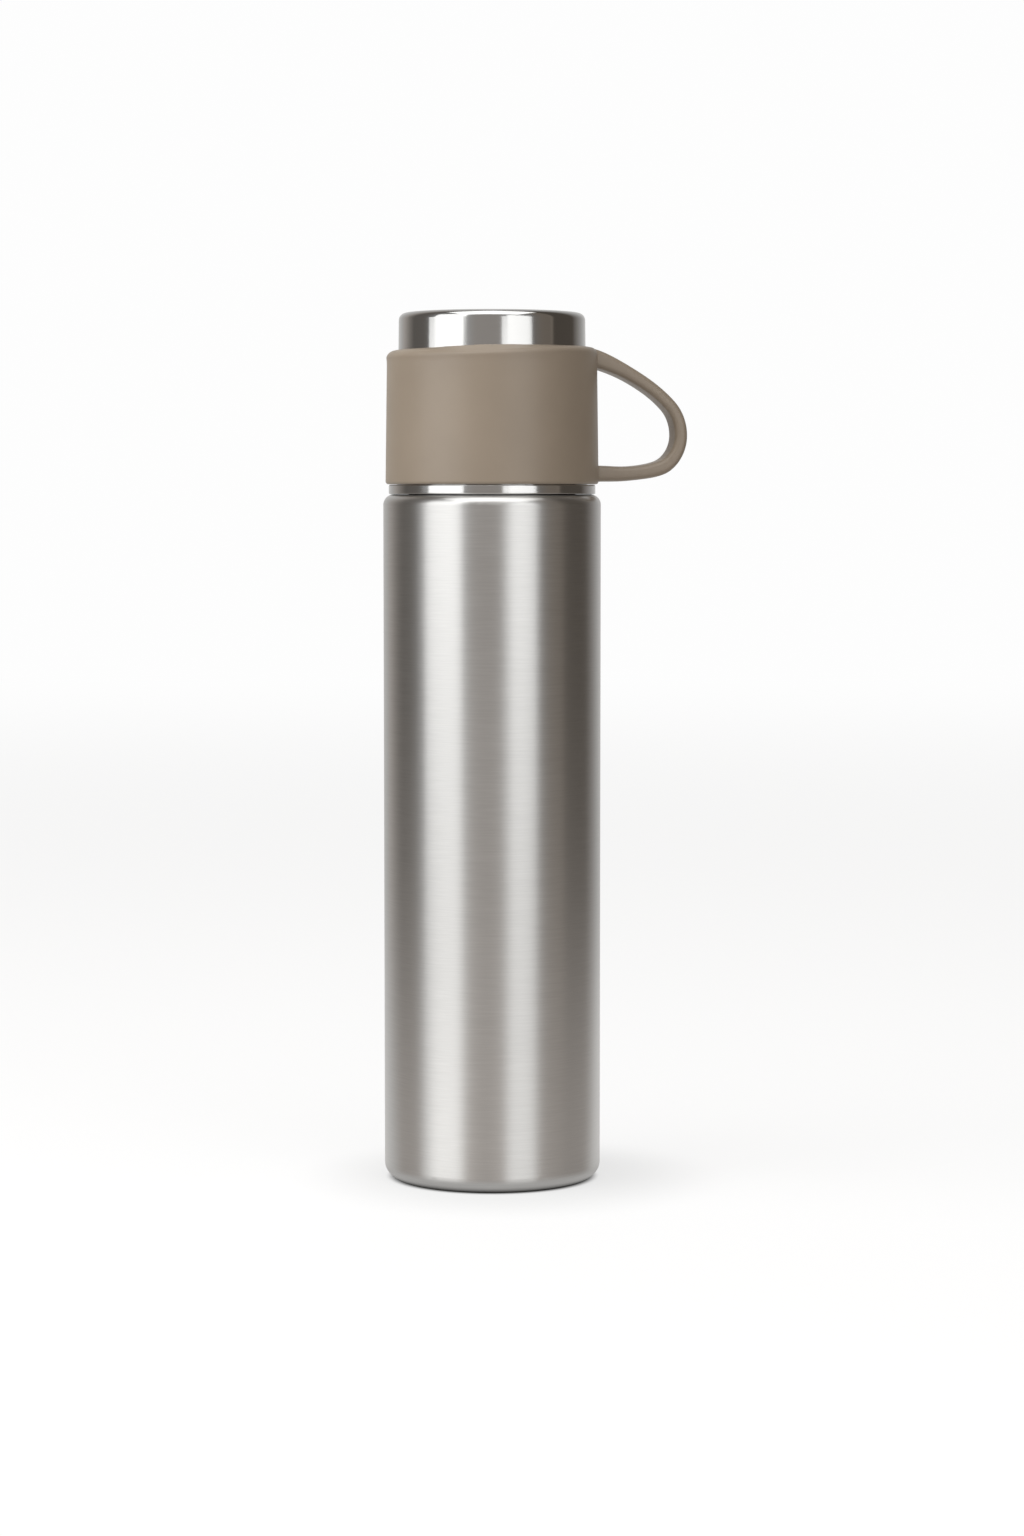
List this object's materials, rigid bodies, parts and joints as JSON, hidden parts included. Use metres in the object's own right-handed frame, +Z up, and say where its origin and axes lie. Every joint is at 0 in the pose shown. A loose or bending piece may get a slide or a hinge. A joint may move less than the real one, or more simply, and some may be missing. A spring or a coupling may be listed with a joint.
{
  "type": "vacuum flask",
  "caption": "Slim double-walled steel vacuum flask; a steel cup in a taupe sleeve with a loop handle covers a screw-in stopper with a push-button pouring valve.",
  "frame": {"origin": "centre of the base, on the plane of the standing ring that the flask rests on", "axes": "+Z up along the flask's axis, +X towards the middle of the cup's handle"},
  "size_m": [0.0919, 0.065, 0.2594],
  "materials": {
    "brushed_steel_body": "fine brushed grain round the body",
    "satin_steel": "satin",
    "polished_steel": "electropolished",
    "cup_steel": "smooth satin, nearly polished",
    "copper_foil": "bright rolled foil",
    "solder_glass": "fused bead",
    "getter_grey": "sintered, matte",
    "spring_steel": "drawn wire",
    "white_silicone": "matte",
    "clear_silicone": "matte, translucent",
    "stopper_plastic": "fine moulded texture",
    "button_plastic": "soft-touch",
    "taupe_plastic": "soft-touch"
  },
  "bodies": {
    "bottle": {"outer_shell": "brushed_steel_body", "base_cap": "satin_steel", "vacuum_bottom": "satin_steel", "glass_seal": "solder_glass", "getter_clip": "satin_steel", "getter": "getter_grey", "liner_bottom": "polished_steel", "inner_liner": "polished_steel", "reflective_foil": "copper_foil", "mouth_ring": "satin_steel"},
    "gasket": {"neck_gasket": "white_silicone"},
    "stopper": {"stopper_body": "stopper_plastic", "cup_grip_ring": "clear_silicone", "stopper_cover": "stopper_plastic", "button_guide": "stopper_plastic", "valve_seat": "stopper_plastic", "button_spring": "spring_steel"},
    "button": {"push_button": "button_plastic", "valve_stem": "stopper_plastic", "stem_seal_ring": "white_silicone", "valve_disc": "stopper_plastic", "valve_seal": "white_silicone", "stem_retainer": "spring_steel"},
    "cup": {"cup_wall": "cup_steel", "cup_sleeve": "taupe_plastic"}
  },
  "joints": [
    {"name": "stopper_rise", "type": "slide", "parent": "bottle", "child": "gasket", "axis": [0, 0, 1], "range_m": [0, 0.0246]},
    {"name": "stopper_turn", "type": "hinge", "parent": "gasket", "child": "stopper", "pos_m": [0, 0, 0.2], "axis": [0, 0, 1], "range_deg": [0, 1260]},
    {"name": "button_press", "type": "slide", "parent": "stopper", "child": "button", "axis": [0, 0, -1], "range_m": [0, 0.0035], "stiffness_N_per_m": 450, "springref_m": -0.004, "deforming": ["button_spring"]},
    {"name": "cup_lift", "type": "slide", "parent": "stopper", "child": "cup", "axis": [0, 0, 1], "range_m": [0, 0.06]}
  ],
  "couplings": [
    {"joint": "stopper_rise", "follows": "stopper_turn", "m_per_rad": 0.0011141}
  ]
}
